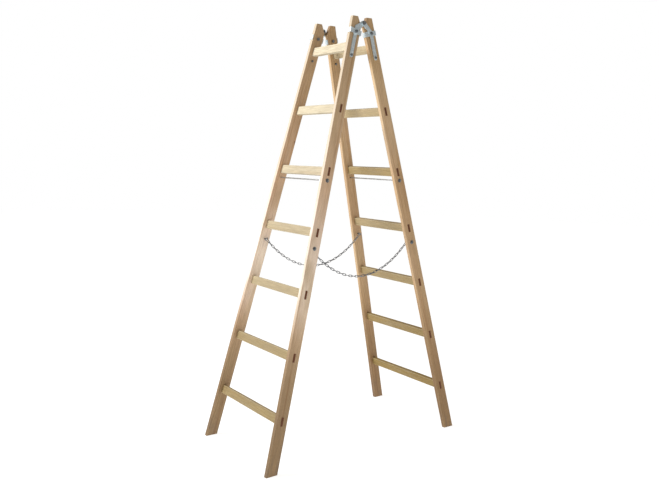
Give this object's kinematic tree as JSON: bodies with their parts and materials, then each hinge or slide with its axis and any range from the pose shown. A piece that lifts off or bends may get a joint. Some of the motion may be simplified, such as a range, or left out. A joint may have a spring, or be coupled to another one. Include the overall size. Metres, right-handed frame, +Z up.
{
  "type": "step ladder",
  "caption": "Wooden A-frame step ladder, climbable on both leaves, with strap hinges at the top, tie rods under rungs and slack spreader chains",
  "frame": {"origin": "middle of the open ladder's footprint, on the floor", "axes": "+Z up, +X to the ladder's right along the rungs, the front leaf stands towards -Y and the rear leaf towards +Y"},
  "size_m": [0.5728, 1.1194, 1.984],
  "materials": {
    "rail_wood": "bare oiled softwood, satin, weathered to tan brown",
    "rung_wood": "bare pale softwood, matt",
    "hinge_steel": "dull zinc-plated flat steel",
    "bolt_steel": "darkened zinc-plated fasteners",
    "rod_steel": "drawn steel rod",
    "chain_steel": "dull galvanised welded links"
  },
  "bodies": {
    "front_leaf": {"front_left_rail": "rail_wood", "front_left_hinge_strap": "hinge_steel", "front_left_hinge_band": "hinge_steel", "front_right_rail": "rail_wood", "front_right_hinge_strap": "hinge_steel", "front_right_hinge_band": "hinge_steel", "front_rung_1": "rung_wood", "front_rung_2": "rung_wood", "front_rung_3": "rung_wood", "front_rung_4": "rung_wood", "front_rung_5": "rung_wood", "front_rung_6": "rung_wood", "front_rung_7": "rung_wood", "front_band_bolts": "bolt_steel", "front_band_nuts": "bolt_steel", "front_strap_bolts": "bolt_steel", "front_strap_nuts": "bolt_steel", "front_tie_rod": "rod_steel", "front_tie_rod_washers": "bolt_steel", "front_tie_rod_nuts": "bolt_steel", "front_chain_eyes": "bolt_steel", "front_chain_washers": "bolt_steel", "front_chain_nuts": "bolt_steel", "left_pivot_bolt": "bolt_steel", "right_pivot_bolt": "bolt_steel", "pivot_washers": "bolt_steel", "pivot_nuts": "bolt_steel", "left_chain": "chain_steel", "right_chain": "chain_steel"},
    "rear_leaf": {"rear_left_rail": "rail_wood", "rear_left_hinge_strap": "hinge_steel", "rear_left_hinge_band": "hinge_steel", "rear_right_rail": "rail_wood", "rear_right_hinge_strap": "hinge_steel", "rear_right_hinge_band": "hinge_steel", "rear_rung_1": "rung_wood", "rear_rung_2": "rung_wood", "rear_rung_3": "rung_wood", "rear_rung_4": "rung_wood", "rear_rung_5": "rung_wood", "rear_rung_6": "rung_wood", "rear_rung_7": "rung_wood", "rear_band_bolts": "bolt_steel", "rear_band_nuts": "bolt_steel", "rear_strap_bolts": "bolt_steel", "rear_strap_nuts": "bolt_steel", "rear_tie_rod": "rod_steel", "rear_tie_rod_washers": "bolt_steel", "rear_tie_rod_nuts": "bolt_steel", "rear_chain_eyes": "bolt_steel", "rear_chain_washers": "bolt_steel", "rear_chain_nuts": "bolt_steel"}
  },
  "joints": [
    {"name": "leaf_fold", "type": "hinge", "parent": "front_leaf", "child": "rear_leaf", "pos_m": [0, 0, 1.95599], "axis": [1, 0, 0], "range_deg": [-28.5, 5.3], "deforming": ["left_chain", "right_chain"]}
  ]
}
